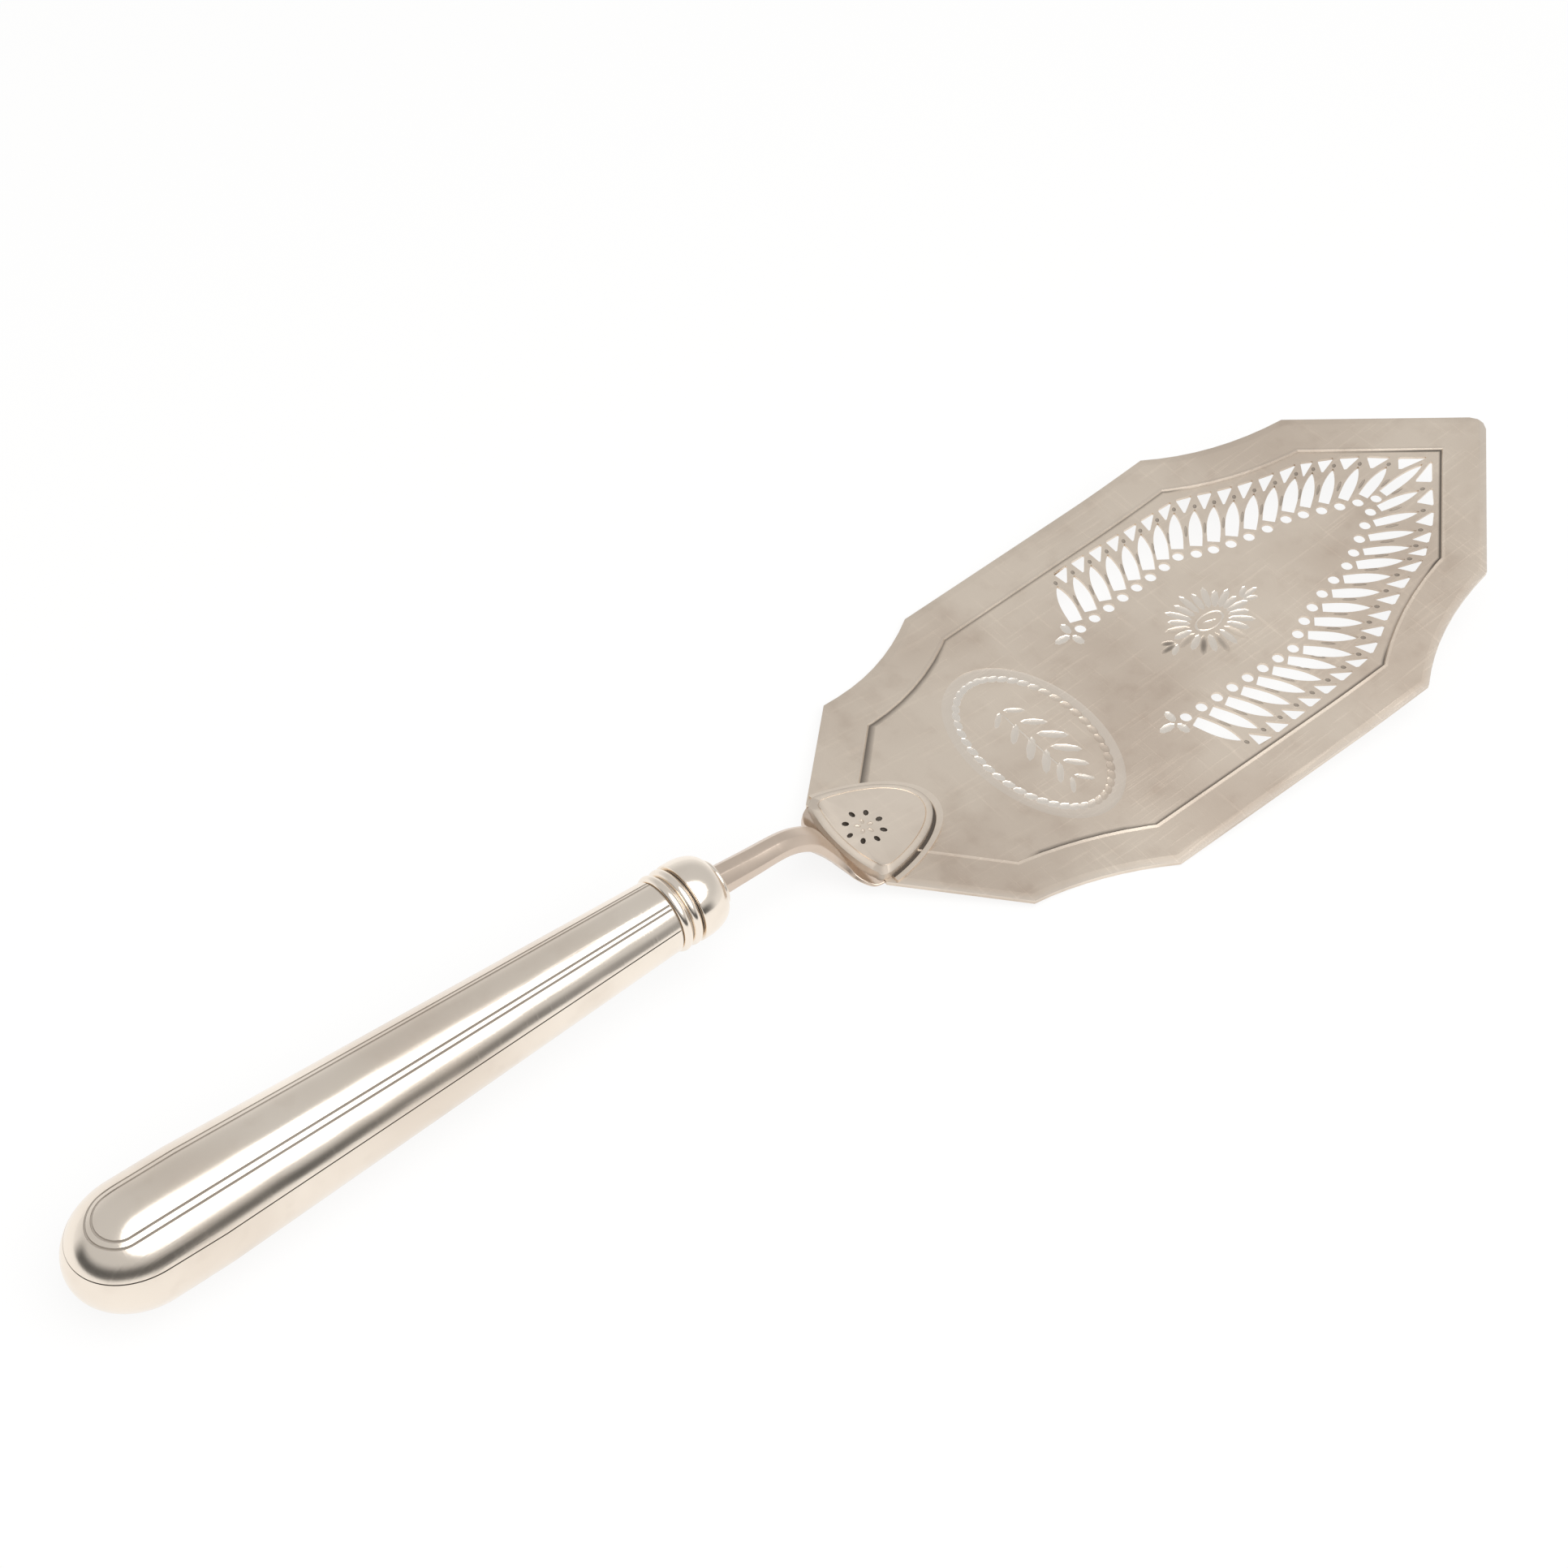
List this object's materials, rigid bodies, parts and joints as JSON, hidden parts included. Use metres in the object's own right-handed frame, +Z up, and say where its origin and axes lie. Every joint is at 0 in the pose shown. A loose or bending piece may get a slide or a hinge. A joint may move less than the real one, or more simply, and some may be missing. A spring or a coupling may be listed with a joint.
{
  "type": "fish slice",
  "caption": "Serving slice with a broad pierced blade bowed upwards, a shield plate over its heel, a cranked shank, a domed ferrule with reeded rings and a tapering round-ended tubular handle.",
  "frame": {"origin": "middle of the slice's box, on the surface that it lies on", "axes": "+X along the slice from the butt of the handle to the tip of the blade, +Z up"},
  "size_m": [0.3154, 0.0758, 0.0214],
  "materials": {
    "blade_silver": "satin, lightly tarnished silver",
    "shield_silver": "satin silver",
    "handle_silver": "polished silver",
    "pitch": "hard dark pitch"
  },
  "bodies": {
    "root": {"blade": "blade_silver", "heel_shield": "shield_silver", "shank": "handle_silver", "shank_collar": "handle_silver", "ferrule_cap": "handle_silver", "reeded_ring_front": "handle_silver", "reeded_ring_rear": "handle_silver", "handle_upper_shell": "handle_silver", "handle_lower_shell": "handle_silver", "pitch_filling": "pitch"}
  },
  "joints": []
}
